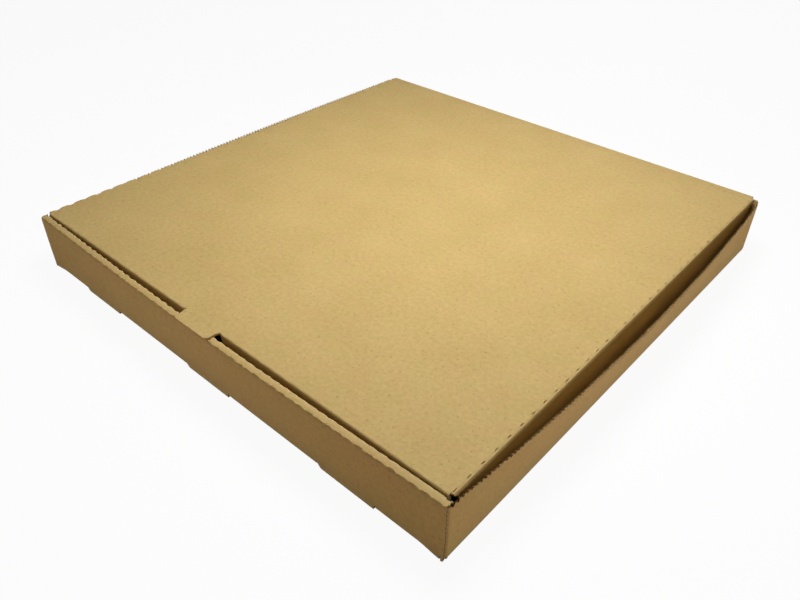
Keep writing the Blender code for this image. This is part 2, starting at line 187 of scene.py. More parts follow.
def writeMesh(name, points, faces, flat, fields, material):
    # flat is each point's place on the blank, and each field a value at each point
    mesh = bpy.data.meshes.new(name)
    mesh.from_pydata((points * metre).tolist(), [], [face for group in faces for face in group.tolist()])
    corner = np.zeros(len(mesh.loops), np.int32)
    mesh.loops.foreach_get("vertex_index", corner)
    mesh.uv_layers.new(name="blank").data.foreach_set("uv", flat[corner].astype(np.float32).ravel())
    for field, values in fields.items():
        mesh.attributes.new(field, "FLOAT", "POINT").data.foreach_set("value", values.astype(np.float32))
    mesh.shade_smooth()
    mesh.set_sharp_from_angle(angle=math.radians(board["sharpFrom"]))
    mesh.materials.append(material)
    return addItem(name, mesh)


def beside(middle, outward, normal, out, rise):
    # Points round each middle one: middle + out * outward + rise * normal
    points = middle[:, None] + out[..., None] * outward[:, None]
    return (points + rise[..., None] * normal[:, None]).reshape(-1, 3)


def ribbons(columns, a, b):
    # Four-sided faces between each column of points and the next, along the edges from a to b
    return [np.stack([near[a], far[a], far[b], near[b]], axis=1) for near, far in zip(columns, columns[1:])]


class Board:
    # The middle surface of folded board, gathered patch by patch and welded. skins() gives it its two
    # liners and raw edges, and fluting() the wavy paper that shows in those edges.
    traitNames = ("u", "v", "crease", "outer", "inner", "groove", "bead", "wear", "torn")
    rows = 4   # points across a raw edge, and round the section of the wavy paper

    def __init__(self, thickness=board["thickness"], liner=board["liner"], groove=board["grooveDepth"]):
        self.half, self.liner, self.groove = thickness / 2, liner, groove
        self.points, self.normals, self.traits, self.faces, self.count = [], [], [], [], 0

    def add(self, points, normals, faces, **traits):
        given = {"groove": self.groove, **traits}
        shape = points.shape[:-1]
        columns = [np.broadcast_to(given.get(name, 0), shape).ravel() for name in self.traitNames]
        self.traits.append(np.stack(columns, axis=1).astype(float))
        self.points.append(points.reshape(-1, 3))
        self.normals.append(np.broadcast_to(normals, points.shape).reshape(-1, 3))
        self.faces += [group + self.count for group in faces]
        self.count += int(np.prod(shape))

    def patch(self, points, normals, keep=None, **traits):
        # A grid of points, with a four-sided face in each cell that is kept
        index = np.arange(points.shape[0] * points.shape[1]).reshape(points.shape[:2])
        quads = np.stack([index[:-1, :-1], index[1:, :-1], index[1:, 1:], index[:-1, 1:]], axis=-1)
        across = np.cross(points[1:, :-1] - points[:-1, :-1], points[:-1, 1:] - points[:-1, :-1])
        if np.sum(across * np.broadcast_to(normals, points.shape)[:-1, :-1]) < 0:
            quads = quads[..., ::-1]
        kept = quads.reshape(-1, 4) if keep is None else quads[keep]
        self.add(points, normals, [kept], **traits)

    def panel(self, points, normal, linesX, linesY, **traits):
        # A flat panel on a fine grid, of which only the coarse lines are used, and all the points of the
        # front, right and left sides
        index = np.arange(points.shape[0] * points.shape[1]).reshape(points.shape[:2])
        groups = {}
        for i, iNext in zip(linesX, linesX[1:]):
            for j, jNext in zip(linesY, linesY[1:]):
                front = index[i:iNext:1 if j == 0 else iNext - i, j]
                side = index[iNext, j:jNext:1 if iNext == linesX[-1] else jNext - j]
                otherSide = index[i, jNext:j:-1 if i == 0 else j - jNext]
                ring = [*front, *side, index[iNext, jNext], *otherSide]
                groups.setdefault(len(ring), []).append(ring if normal[2] > 0 else ring[::-1])
        self.add(points, normal, [np.array(rings) for rings in groups.values()], **traits)

    def column(self, name):
        # One trait at every welded point
        return self.trait[:, self.traitNames.index(name)]

    def weld(self):
        # Points that share a place become one, and edges that only one face has are the raw ones
        points, normals, traits = (join(part) for part in (self.points, self.normals, self.traits))
        first, where = np.arange(len(points)), np.arange(len(points))
        for shift in (0.371, 0.829):
            # Twice, on shifted cells, for the rare pair that a cell's side parts
            key = np.floor(points[first] / board["weldSize"] + shift).astype(np.int64)
            _, kept, to = np.unique(key, axis=0, return_index=True, return_inverse=True)
            first, where = first[kept], to.ravel()[where]
        faces = [where[group] for group in self.faces]
        used, compact = np.unique(join([group.ravel() for group in faces]), return_inverse=True)
        summed = np.stack([np.bincount(where, column) for column in normals.T], axis=1)[used]
        self.place, self.trait = points[first][used], traits[first][used]
        self.normal = summed / np.linalg.norm(summed, axis=1, keepdims=True)
        ends = np.cumsum([0] + [group.size for group in faces])
        self.polygons = [compact[a:b].reshape(group.shape) for a, b, group in zip(ends, ends[1:], faces)]
        start = join([group.ravel() for group in self.polygons])
        end = join([np.roll(group, -1, axis=1).ravel() for group in self.polygons])
        code, opposite = start * len(used) + end, end * len(used) + start
        if len(np.unique(code)) < len(code):
            raise ValueError("two patches overlap or face opposite ways")
        raw = ~np.isin(code, opposite)
        self.edgeFrom, self.edgeTo = start[raw], end[raw]
        if len(np.unique(self.edgeFrom)) < len(self.edgeFrom):
            raise ValueError("two raw edges touch at one point")
        self.cutEdges()

    def cutEdges(self):
        # Outward at a raw point: square to both of its edges, and longer at a corner
        a, b = self.edgeFrom, self.edgeTo
        along = self.place[b] - self.place[a]
        out = np.cross(along, self.normal[a] + self.normal[b])
        out /= np.linalg.norm(out, axis=1, keepdims=True)
        self.outward = np.zeros_like(self.place)
        for end in (a, b):
            np.add.at(self.outward, end, out)
        size = np.maximum(np.linalg.norm(self.outward, axis=1, keepdims=True), board["longestMitre"])
        self.outward *= 2 / size ** 2
        # The cut strays inward by wobble * (1 + sin of a bent wave) / 2, and where it crosses the flutes by
        # nibble * (1 + sin of the flutes) / 2 as well
        u, v, groove = self.column("u"), self.column("v"), self.column("groove")
        fastU, fastV = board["strayWave"]
        bend, slowU, slowV = board["strayBend"]
        phase = fastU * u + fastV * v + bend * np.sin(slowU * u + slowV * v)
        stray = board["wobble"] * (0.5 + 0.5 * np.sin(phase))
        crossing = np.zeros(len(v))
        np.maximum.at(crossing, a, np.abs(v[b] - v[a]) / np.linalg.norm(along, axis=1))
        chewed = board["nibble"] * ease(0.5, 0.9, crossing) * (0.5 + 0.5 * fluteWave(v))
        self.place -= self.outward * ((stray + chewed) * (groove > 0))[:, None]

    def skins(self, name, material):
        # Outer skin: middle + normal * (half + outer). Inner skin: middle - normal * (half + inner).
        # A raw edge goes liner, groove, liner, or a half round where it is a bead. Where it is torn it slants
        # back by torn * (half - height) / thickness.
        total, ring = len(self.place), np.unique(self.edgeFrom)
        upper, lower = self.half + self.column("outer"), self.half + self.column("inner")
        crease, wear, torn = self.column("crease"), self.column("wear"), self.column("torn")
        number = np.zeros(total, np.int64)
        number[ring] = np.arange(len(ring))
        rows, level = self.rows, self.half - self.liner
        grooveOut = -self.column("groove")[ring, None] * np.array([0, 1, 1, 0])
        grooveUp = np.broadcast_to(np.array([level, level, -level, -level]), grooveOut.shape)
        turn = quarter - math.pi * np.arange(1, rows + 1) / (rows + 1)
        bead = self.column("bead")[ring, None]
        outward = grooveOut * (1 - bead) + self.half * np.cos(turn) * bead
        upward = grooveUp * (1 - bead) + self.half * np.sin(turn) * bead
        outward = outward - torn[ring, None] * (0.5 - upward / self.half / 2)
        thick = np.where(upward > 0, upper[ring, None], lower[ring, None]) / self.half
        upward, outward = upward * thick, outward * (1 + bead * (thick - 1))
        points = join([
            self.place + upper[:, None] * self.normal,
            self.place - lower[:, None] * self.normal - torn[:, None] * self.outward,
            beside(self.place[ring], self.outward[ring], self.normal[ring], outward, upward),
        ])
        column = [np.arange(total)] + [2 * total + rows * number + k for k in range(rows)]
        column.append(total + np.arange(total))
        faces = self.polygons + [group[:, ::-1] + total for group in self.polygons]
        faces += ribbons(column, self.edgeFrom, self.edgeTo)
        # The paper's fibres run on from the outer skin over the edge, and the inner skin has its own
        flat, innerShift, edgeStretch = self.trait[:, :2], 1000.0, 0.7
        edgeFlat = flat[ring, None] + outward[..., None] * edgeStretch + upward[..., None]
        skin, inGroove = np.zeros(2 * total), grooveOut < -board["shallow"]
        fields = {
            # The inner skin keeps at most the crease mark, so the flaps' painted shade lies on their outer
            # faces only
            "crease": join([crease, np.minimum(crease, 1), np.repeat(crease[ring], rows)]),
            "wear": join([wear, wear, np.repeat(wear[ring], rows)]),
            "raw": join([skin, np.ones(rows * len(ring))]),
            "deep": join([skin, inGroove.ravel()]),
        }
        flat = join([flat, flat + innerShift, edgeFlat.reshape(-1, 2)])
        return writeMesh(name, points, faces, flat, fields, material)

    def fluting(self, name, material):
        # The wavy paper along the raw edges: middle + normal * height * flute wave at v
        step, recess, overlap = 0.42, 0.04, 0.1
        v, groove, torn = self.column("v"), self.column("groove"), self.column("torn")
        grooved = (groove[self.edgeFrom] > 0) & (groove[self.edgeTo] > 0)
        start, end = self.edgeFrom[grooved], self.edgeTo[grooved]
        length = np.linalg.norm(self.place[end] - self.place[start], axis=1)
        count = np.maximum(1, np.ceil(length / step)).astype(int)
        first = np.cumsum(count) - count
        edge = np.repeat(np.arange(len(start)), count)
        share = (np.arange(count.sum()) - first[edge]) / count[edge]

        def between(values):
            part = share[:, None] if values.ndim > 1 else share
            return values[start[edge]] * (1 - part) + values[end[edge]] * part

        edgeAt = np.zeros(len(self.place), np.int64)
        edgeAt[start] = np.arange(len(start))
        following = np.arange(len(edge)) + 1
        following[first + count - 1] = first[edgeAt[end]]
        wave = (self.half - self.liner - board["medium"] / 2) * fluteWave(between(v))
        deep = self.groove + overlap
        ringOut = np.array([-recess, -recess, -deep, -deep])
        level = wave[:, None] + np.array([1, -1, -1, 1]) * board["medium"] / 2
        outer, inner = between(self.column("outer"))[:, None], between(self.column("inner"))[:, None]
        level = level * (1 + np.where(level > 0, outer, inner) / self.half)
        ringOut = ringOut - between(torn)[:, None] * (0.5 - level / self.half / 2)
        points = beside(*(between(part) for part in (self.place, self.outward, self.normal)), ringOut, level)
        here = np.arange(len(edge))
        faces = ribbons([here * self.rows + k for k in (*range(self.rows), 0)], here, following)
        flat = np.repeat(between(self.trait[:, :2]), self.rows, axis=0)
        return writeMesh(name, points, faces, flat, {"deep": np.tile([0, 0, 1, 1], len(here))}, material)


# The tray

tray = {
    "frontCreaseInside": 2.2, "innerShort": 0.4, "sideDrop": 0.4, "sideRamp": 4.0, "stripPlay": 0.7,
    "frontBow": 3.0, "rightBow": 9.5, "leftBow": 4.0, "bowPower": 0.75,
    "cornerRelief": 0.45,
    "toe": 0.15,   # how high the side wall's front foot starts
    "footEnd": 0.3,   # how far past the base's flat part the front wall's end feet start
    "endPress": 0.75,   # how far the front wall's bottom fold is pressed in near its ends
    "endPressReach": 16.0,
    "sideRows": (15.0, 29.0), "backRows": (14.0, 27.0),
    "column": 1.0,   # spacing of the columns along the front wall, and of those along a side wall
    "sideColumn": 0.57,
}
strip = {   # the front wall's flat top and its two rippled folds
    "pitch": 7.6, "phase": 2.5, "lean": 0.8,
    "innerRipple": 1.0, "innerWidth": 1.0, "outerRipple": 0.8, "outerWidth": 1.1,
    "past": 0.3,   # how far beyond a fold's start its ripple is strongest
    "calmer": 0.6,   # how much the inner ripple dies down from calmFrom to calmTo
    "calmFrom": -120, "calmTo": 150,
    "row": 0.5, "firstRow": 0.4,
    "foldMark": (0.4, 1.2), "bottomMark": (2.3, 2.0),   # where the creases are marked, and how widely
    "insideMark": (1.0, 4.0, 1.3),   # where the inner panel's painted shade starts and is full, and its strength
    "wornWidth": 0.6,
}
# The side walls' upper edges, where each flute leaves a tooth. dark sets the painted shade where the edge
# dips, and the teeth between the dips get a painted highlight
rawTop = {"scallop": 1.5, "dark": 2.6, "pinch": 0.4, "thin": 0.1, "tear": 1.3, "reach": 1.1,
          "rows": (4.2, 2.6, 1.9, 0)}
slot = {"length": 48.0, "spacing": 131.5, "count": 3, "play": 0.4, "shoulder": 3.5, "kerf": 0.5,
        "firstDrop": 0.08, "wear": 0.4}
lockTab = {"endPlay": 1.0, "taper": 2.0, "footLift": 0.1}
cornerFlap = {"length": 62.0, "round": 8.0, "roundSteps": 7, "lift": 4.5, "liftPast": 0.5, "foldRow": 0.4,
              "firstRow": 1.2, "row": 11.0, "mark": (0.8, 1.4)}
hingeBand = {"liner": 0.25, "sink": 0.3, "sinkStep": 0.1, "onWall": 6.0, "onLid": 6.5, "end": sideX - 5.4,
             "beadRow": 0.5, "topRow": 2.0, "sideStep": 0.9}

baseX = sideX - baseFold   # where the side creases start
panelX = baseX - band
foldEnd = band + baseFold * quarter
frontCrease = tray["frontCreaseInside"] + half
baseFrontY = outerY + frontCrease
slotBackY = innerY + half + slot["play"]
wallFrontY = flapY + cornerFold
wallBackY = backY - board["thickness"] - board["play"] - cornerFold
sideTopZ = trayHeight - tray["sideDrop"]
underStripZ = stripZ - half - tray["stripPlay"]
innerEndX = sideX - half - tray["innerShort"]
frontEndX = sideX + half
footX = panelX + tray["footEnd"]
innerBottomZ = board["thickness"] + board["play"]
slotCentres = (np.arange(slot["count"]) - (slot["count"] - 1) / 2) * slot["spacing"]
slotEnds = [(centre - slot["length"] / 2, centre + slot["length"] / 2) for centre in slotCentres]


def rise(z):
    # Share of the wall's height: 0 at the base, 1 at the strip
    return (z - half) / (stripZ - half)


def springFront(points):
    # The front wall's top springs out: y - bow * sin(pi * along) * rise
    along = np.clip(points[..., 0] / (2 * sideX) + 0.5, 0, 1)
    shift = -tray["frontBow"] * np.sin(math.pi * along) * rise(points[..., 2])
    return points + shift[..., None] * back


def springSide(points, side):
    # A side wall's top springs out: x + bow * sin(pi * along) ^ power * rise
    bow = tray["rightBow"] if side > 0 else tray["leftBow"]
    along = np.clip((points[..., 1] - wallFrontY) / (wallBackY - wallFrontY), 0, 1)
    shift = side * bow * np.sin(math.pi * along) ** tray["bowPower"] * rise(points[..., 2])
    return points + shift[..., None] * right


def besideSlots(x, y):
    # Keeps the cells between the stations x and y that lie in no slot
    middle = (x[1:] + x[:-1]) / 2
    inside = np.any([(middle > low) & (middle < high) for low, high in slotEnds], axis=0)
    return np.repeat(~inside[:, None], len(y) - 1, axis=1)


def within(x, low, high):
    # The stations from low to high
    return x[(x >= low - slack) & (x <= high + slack)]


def buildFrontWall(sheet, baseColumns, columns):
    # Outer panel, top strip and inner panel: one profile along x, with the strip's folds rippled
    upTo = frontCrease * quarter
    overStart = upTo + stripZ - sharp - half - frontCrease
    overEnd = overStart + sharp * quarter + innerY - outerY - 2 * sharp
    folds = [(0, quarter, frontCrease), (overStart, quarter, sharp), (overEnd, quarter, sharp)]
    sharpFolds = (overStart, quarter), (overEnd, quarter)
    downStart = overEnd + sharp * quarter
    bottom = downStart + stripZ - sharp - innerBottomZ
    row, fine = board["rowHeight"], board["fineRow"]
    distance = stations(
        through([0, upTo], upTo / board["foldSteps"]), through([upTo, overStart - 3 * band], row),
        overStart - band, overStart - fine, sharpStations(overStart, quarter),
        through([overStart + strip["firstRow"], overEnd - fine], strip["row"]),
        sharpStations(overEnd, quarter), downStart + fine, downStart + band,
        through([downStart + 3 * band, bottom], row))
    profile, normals = folded(np.array([0, baseFrontY, half]), -back, -up, distance, folds)

    def wall(x, low, high, keep=None):
        part = (distance >= low - slack) & (distance <= high + slack)
        s = distance[part]
        points = swept(profile[part], x, right)
        swing = uneven(0.3, 0.7 * x) * (1 - strip["calmer"] * ease(strip["calmFrom"], strip["calmTo"], x))
        inner = strip["innerRipple"] * (swing * sawtooth(x, strip["pitch"], 0))[:, None]
        inner = inner * bell(overEnd + strip["past"], strip["innerWidth"], s)
        notch = sawtooth(x + strip["phase"], strip["pitch"], strip["lean"]) * uneven(0.25, 0.53 * x)
        outer = strip["outerRipple"] * notch[:, None]
        outer = outer * bell(overStart + strip["past"], strip["outerWidth"], s)
        points = points + (outer - inner)[..., None] * back
        # Near its ends the bottom fold is pressed sharper
        press = ease(panelX - tray["endPressReach"], panelX, np.abs(x))[:, None]
        press = press * np.sin(2 * np.clip(s / upTo, 0, 1) * quarter)
        points = points - tray["endPress"] * press[..., None] * (back + up)
        (foldAt, foldWidth), (insideFrom, insideFull, inside) = strip["foldMark"], strip["insideMark"]
        mark = bell(overStart + foldAt, foldWidth, s) + bell(*strip["bottomMark"], s)
        # Painted shade on the inner panel, from just past the strip's inner fold on down
        mark = mark + inside * ease(overEnd + insideFrom, downStart + insideFull, s)
        # A painted highlight along the ridge of the strip's inner fold
        ridgeHighlight = bell(overEnd, strip["wornWidth"], s) * (s > overStart)
        sheet.patch(springFront(points), normals[part], keep=keep, u=x[:, None], v=baseFrontY - s,
                    crease=mark, wear=ridgeHighlight, outer=squared(s, *sharpFolds), inner=crushed(s, *sharpFolds))

    wall(baseColumns, 0, upTo, keep=besideSlots(baseColumns, within(distance, 0, upTo)))
    wall(columns, upTo, downStart)
    wall(within(columns, -innerEndX, innerEndX), downStart, bottom)

    panelBottom = half + frontCrease

    def underCrease(x, z, **traits):
        # A stretch of the outer panel that goes on below its bottom crease
        sheet.patch(springFront(place(x[:, None], outerY, z)), -back, u=x[:, None],
                    v=baseFrontY - upTo + panelBottom - z, **traits)

    for low, high in slotEnds:
        # The lip is what the slot's cut leaves on the outer panel: an S-shaped shoulder, then a straight edge
        x = within(columns, low + slot["kerf"], high - slot["kerf"])
        drop = np.maximum(ease(x[0], x[0] + slot["shoulder"], x), slot["firstDrop"])
        drop = drop[:, None] * (panelBottom - lockTab["footLift"])
        underCrease(x, panelBottom - drop * np.linspace(0, 1, 5), wear=slot["wear"])
        # The lock tab goes on down from the inner panel and narrows
        x = within(columns, low + lockTab["endPlay"], high - lockTab["endPlay"])
        share = np.linspace(0, 1, 3)
        z = innerBottomZ + (lockTab["footLift"] - innerBottomZ) * share
        middle = (x[0] + x[-1]) / 2
        spread = 1 - share * lockTab["taper"] / (x[-1] - middle)
        tab = springFront(place(middle + (x[:, None] - middle) * spread, innerY, z))
        sheet.patch(tab, back, u=x[:, None], v=baseFrontY - bottom - innerBottomZ + z)
    for end in (-1, 1):
        foot = np.sort(end * np.array([footX, innerEndX, frontEndX]))
        underCrease(foot, np.linspace(lockTab["footLift"], panelBottom, 4))


def baseCrease(origin, out):
    # The base's flat band and the crease beyond it: distances, points, normals and the crease's mark
    distance = stations(0, through([band, foldEnd], board["fineRow"]))
    points, normals = folded(origin, out, -up, distance, [(band, quarter, baseFold)])
    return distance, points, normals, bell((band + foldEnd) / 2, board["creaseMark"], distance)


def flatReach(z):
    # How far a point of a side or back wall lies from the middle of the flat sheet
    return panelX + foldEnd + z - footZ


def topOfSide(y):
    # The side wall's top edge is lower where the roll-over strip passes above it
    reach = (y - (innerY + half + board["play"])) / tray["sideRamp"]
    return underStripZ + (sideTopZ - underStripZ) * np.clip(reach, 0, 1)


def buildSideWall(sheet, side, y):
    # Crease, wall and corner flaps. The flutes stand upright here, so the top edge is scalloped.
    distance, profile, normals, mark = baseCrease(np.array([side * panelX, 0, half]), side * right)
    points = springSide(swept(profile, y, back), side)
    sheet.patch(points, normals, u=side * (panelX + distance), v=y[:, None], crease=mark)

    y = stations(wallFrontY, y, wallBackY)[:, None]
    top = topOfSide(y)
    low = np.array([footZ, cornerFlap["lift"], *tray["sideRows"]])
    z = join([np.broadcast_to(low, (len(y), len(low))), top - np.array(rawTop["rows"])], axis=1)
    z[0, 0] = tray["toe"]
    # Each flute leaves a tooth on the inside of the top edge, and the board between two is pinched. Where the
    # edge dips it gets painted shade, and where it stands up a painted highlight.
    flute = 0.5 + 0.5 * fluteWave(y)
    near = np.exp(-(top - z) / rawTop["reach"])
    swing = uneven(0.2, 0.9 * y + 2.0 * np.sin(0.31 * y))
    wall = springSide(place(side * sideX, y, z - rawTop["scallop"] * swing * flute * near), side)
    sheet.patch(wall, side * right, u=side * flatReach(z), v=y, outer=-rawTop["thin"] * near,
                inner=-rawTop["pinch"] * swing * flute * near, torn=rawTop["tear"] * (z > top - slack),
                wear=(1 - flute) * near ** 2, crease=rawTop["dark"] * flute * near ** 2)

    arc = cornerFold * quarter
    straight = arc + cornerFlap["length"] - cornerFlap["round"]
    flat = stations(through([0, arc], cornerFlap["foldRow"]),
                    through([arc + cornerFlap["firstRow"], straight], cornerFlap["row"]))
    angle = np.linspace(0, quarter, cornerFlap["roundSteps"] + 1)[1:]
    distance = join([flat, straight + cornerFlap["round"] * np.sin(angle)])
    inset = join([np.zeros(len(flat)), cornerFlap["round"] * (1 - np.cos(angle))])
    lift = (cornerFlap["lift"] - footZ) * ease(0.7 * arc, arc + cornerFlap["liftPast"], distance)
    for end, wallEnd, column in ((-1, wallFrontY, wall[0]), (1, wallBackY, wall[-1, :-2])):
        height = column[:, 2]
        share = (height - height[0]) / (height[-1] - height[0])
        origin = np.array([side * sideX, wallEnd, 0])
        profile, normals = folded(origin, end * back, side * right, distance, [(0, quarter, cornerFold)])
        foot, head = (height[0] + lift + inset)[:, None], (height[-1] - inset)[:, None]
        z = foot + share * (head - foot)
        points = profile[:, None] + z[..., None] * up
        points = springFront(points) if end < 0 else points
        sheet.patch(points, normals[:, None], u=side * flatReach(z), v=wallEnd + end * distance[:, None],
                    crease=bell(*cornerFlap["mark"], distance)[:, None])


def buildBackWall(sheet, x):
    # Crease and wall, sunk where the hinge liner lies, with a rounded top on the hinge line
    distance, profile, normals, mark = baseCrease(np.array([0, panelX, half]), back)
    sheet.patch(swept(profile, x, right), normals, u=x[:, None], v=panelX + distance, crease=mark)
    x = stations(-sideX, x, sideX)[:, None]
    sunkZ, sink = lidZ - hingeBand["onWall"], -hingeBand["sink"]
    topRow = sideTopZ - hingeBand["topRow"]
    z = np.array([footZ, *tray["backRows"], sunkZ - hingeBand["sinkStep"], sunkZ, topRow, sideTopZ])
    underLiner = np.abs(x) < hingeBand["end"] + slack
    sunk = sink * (z > sunkZ - slack) * underLiner
    sheet.patch(place(x, backY, z), back, u=x, v=flatReach(z), outer=sunk, inner=sunk)
    x = x[underLiner[:, 0]]
    z = np.array([sideTopZ, lidZ - hingeBand["beadRow"], lidZ])
    sheet.patch(place(x, backY, z), back, u=x, v=flatReach(z), outer=sink, inner=sink, bead=z > lidZ - slack)


def nearest(values, wanted):
    # Index of the value nearest to each wanted one, in a sorted array
    return sorted({int(np.argmin(np.abs(values - value))) for value in wanted})


def buildTray():
    sheet = Board()
    cuts, end = (0, slot["kerf"], lockTab["endPlay"]), hingeBand["end"]
    keys = [at for low, high in slotEnds for cut in cuts for at in (low + cut, high - cut)]
    frontX = through(sorted(keys + [-panelX, -end, end, panelX]), tray["column"])
    wallX = np.unique([*frontX, -frontEndX, -innerEndX, -footX, footX, innerEndX, frontEndX])
    relief = tray["cornerRelief"]
    foldY = through([wallFrontY + relief, slotBackY, wallBackY - relief], tray["sideColumn"])

    # The base: a strip of fine cells between the slots, then the panel behind them
    stripY = stations(baseFrontY, foldY[foldY <= slotBackY + slack])
    sheet.patch(place(frontX[:, None], stripY, half), -up, keep=besideSlots(frontX, stripY),
                u=frontX[:, None], v=stripY)
    gridY = stations(foldY[foldY >= slotBackY - slack], panelX)
    outerEnd = end + hingeBand["sideStep"]
    linesX = nearest(frontX, [-panelX, -outerEnd, *through([-end, end], board["cell"]), outerEnd, panelX])
    linesY = nearest(gridY, [*through([slotBackY, foldY[-1]], board["cell"]), panelX])
    points = place(frontX[:, None], gridY, half)
    sheet.panel(points, -up, linesX, linesY, u=frontX[:, None], v=gridY)

    buildFrontWall(sheet, frontX, wallX)
    for side in (-1, 1):
        buildSideWall(sheet, side, foldY)
    buildBackWall(sheet, frontX[linesX])
    sheet.weld()
    return sheet


# The lid

lid = {
    "frontInset": 1.5, "backInset": 4.4, "frontPlay": 0.4, "endGap": 0.5, "reliefRadius": 0.9, "column": 1.0,
    "lastRipple": 2.5,   # how far before its sunk hinge the lid's ripples end, and its coarse squares
    "lastCell": 3.0,
    "foldMark": 0.9,   # how widely a fold is marked
    "flapTone": 1.4,   # painted shade: how much darker a flap's outer face is painted below its fold, and by which depth
    "flapToneDepth": 1.5,
    "leftRipple": 1.5, "rightRipple": 0.35, "frontRipple": 0.3, "ripplePitch": 11.8,
    "rippleFade": 4.0,   # how soon a flap hangs straight below its rippled fold
    "slitLength": 3.2, "slitWidth": 0.62, "slitStart": 0.05,
    "openSlit": 1.1,   # how far a torn slit on the right stands open; each is (where, width, share)
    "openSlits": ((-90.5, 1.5, 1.0), (38.0, 1.4, 0.45)),
}
tuck = {"depth": 38.0, "lean": 5.0, "endGap": 1.1, "corner": 18.0, "pulled": 6.0,
        "rowsBesideTab": (2, 4.5, 7.8, 9.0, 10.0, 10.6), "rows": (15, 20, 25, 30, 33.5, 36, 37.4)}
sideFlap = {"depth": 37.0, "lean": 3.0, "frontGap": 1.1, "rearGap": 2.3, "frontSlant": 30.0,
            "rearSlant": 12.0, "corner": 6.0, "rows": (3, 9, 18, 25, 29.5, 33, 35.3, 36.5)}
thumb = {"length": 10.4, "rootWidth": 37.0, "tipWidth": 34.0, "shift": -2.0, "corner": 3.2, "cut": 0.6,
         "rows": (0.8, 3, 6, 7.6, 8.9, 9.7, 10.2)}

lidFrontY = innerY + board["thickness"] + lid["frontPlay"]
lidRearY = backY - half - lid["endGap"]
lidFrontX = sideX - lid["frontInset"]
lidBackX = sideX - lid["backInset"]
sideTurn = quarter + math.radians(sideFlap["lean"])
tuckTurn = quarter + math.radians(tuck["lean"])
sideSetback = sharp * math.tan(sideTurn / 2)
tuckSetback = sharp * math.tan(tuckTurn / 2)
panelFrontY = lidFrontY + tuckSetback + band
tuckEndX = lidFrontX - tuck["endGap"]
thumbEnds = thumb["shift"] - thumb["rootWidth"] / 2, thumb["shift"] + thumb["rootWidth"] / 2
notchEnds = thumbEnds[0] - thumb["cut"], thumbEnds[1] + thumb["cut"]
bandRadius = half - hingeBand["liner"] / 2
hingeV = flatReach(lidZ)
lidV = hingeV + bandRadius * quarter + backY


def panelEdgeX(y):
    # The lid panel narrows evenly from its front to its hinge; its flat part ends this far from the middle
    share = (y - lidFrontY) / (lidRearY - lidFrontY)
    return lidFrontX + (lidBackX - lidFrontX) * share - sideSetback - band


def insetAt(depth, total, slant, radius):
    # How far a flap's end has come in at each depth: a straight slant that a round turns into the bottom edge
    tilt = math.atan2(total, slant)
    reach = radius * math.tan(tilt / 2)
    rounded = slant + reach - np.sqrt(np.maximum(radius ** 2 - (depth - total + radius) ** 2, 0))
    return np.where(depth < total - reach * math.sin(tilt), slant * depth / total, rounded)


def flatPatch(sheet, x, y, **traits):
    # A flat piece of the lid
    sheet.patch(place(x, y, lidZ), up, u=x, v=lidV - y, **traits)


def foldTraits(distance, turn):
    # A sharp fold that starts where the band ends
    return {"crease": bell(band + 0.4 * sharp * turn, lid["foldMark"], distance),
            "outer": squared(distance, (band, turn)), "inner": crushed(distance, (band, turn))}


def flapTraits(depth, turn):
    # A flap below its fold; its outer face is darkened below the fold with painted shade
    return {"crease": 1 + lid["flapTone"] * ease(0, lid["flapToneDepth"], depth),
            "inner": crushed(band + sharp * turn + depth, (band, turn))}


def hangingDown(turn, out):
    # The way that a flap hangs after its fold
    return -math.cos(turn - quarter) * up - math.sin(turn - quarter) * out


def buildSideFlap(sheet, side, y):
    # The crease is perforated: short slits stand open where the bend starts, and between them the fold moves
    # in by ripple * saw
    slitStart, slitEnd = lid["slitStart"], lid["slitStart"] + lid["slitWidth"]
    distance = stations(0, slitStart, slitEnd, sharpStations(band, sideTurn))
    profile, normals = folded(np.zeros(3), side * right, up, distance, [(band, sideTurn, sharp)])
    phase = (y - y[0]) / lid["ripplePitch"] + (0.3 if side > 0 else 0.0)
    swing = uneven(0.28, 2.3 * np.floor(phase)) * sawtooth(phase, 1.0, 0.7 * side)
    fold = np.clip(distance / (band + 0.5 * sharp * sideTurn), 0, 1)
    sink = lid["rightRipple" if side > 0 else "leftRipple"] * swing[:, None] * fold
    points = place(side * panelEdgeX(y), y, lidZ)[:, None] + profile
    points = points - sink[..., None] * (0.5 * side * right + 0.7 * up)
    middle = (phase[1:] + phase[:-1]) / 2
    inSlit = np.abs(middle % 1 - 0.5) < lid["slitLength"] / lid["ripplePitch"] / 2
    inSlit[[0, -1]] = False
    keep = np.ones((len(y) - 1, len(distance) - 1), bool)
    keep[:, 1] = ~inSlit
    # On the right some of the slits have torn wider: their outer lip is pulled out and their inner lip down
    torn = sum(share * bell(at, width, y) for at, width, share in lid["openSlits"])
    torn = lid["openSlit"] * (side > 0) * torn
    points[:, 2, 0] += 0.3 * side * torn
    points[:, 2, 2] -= 0.2 * torn
    groove = np.full((len(y), len(distance)), board["grooveDepth"])
    groove[1:-1, 1:3] = 0
    sheet.patch(points, normals, keep=keep, u=side * (panelEdgeX(0) + distance), v=lidV - y[:, None],
                groove=groove, **foldTraits(distance, sideTurn))

    total = sideFlap["depth"]
    depth = np.array([0, band, *sideFlap["rows"], total])
    front = insetAt(depth, total, sideFlap["frontSlant"], sideFlap["frontSlant"])
    rear = insetAt(depth, total, sideFlap["rearSlant"], sideFlap["corner"])
    share = ((y - y[0]) / (y[-1] - y[0]))[:, None]
    hangY = y[0] + front + share * (y[-1] - y[0] - front - rear)
    flush = place(side * panelEdgeX(hangY) + profile[-1, 0], hangY, lidZ + profile[-1, 2])
    shift = (points[:, -1] - flush[:, 0])[:, None] * np.exp(-depth / lid["rippleFade"])[:, None]
    points = flush + depth[:, None] * hangingDown(sideTurn, side * right) + shift
    sheet.patch(points, normals[-1], u=side * (panelEdgeX(0) + distance[-1] + depth), v=lidV - hangY,
                **flapTraits(depth, sideTurn))


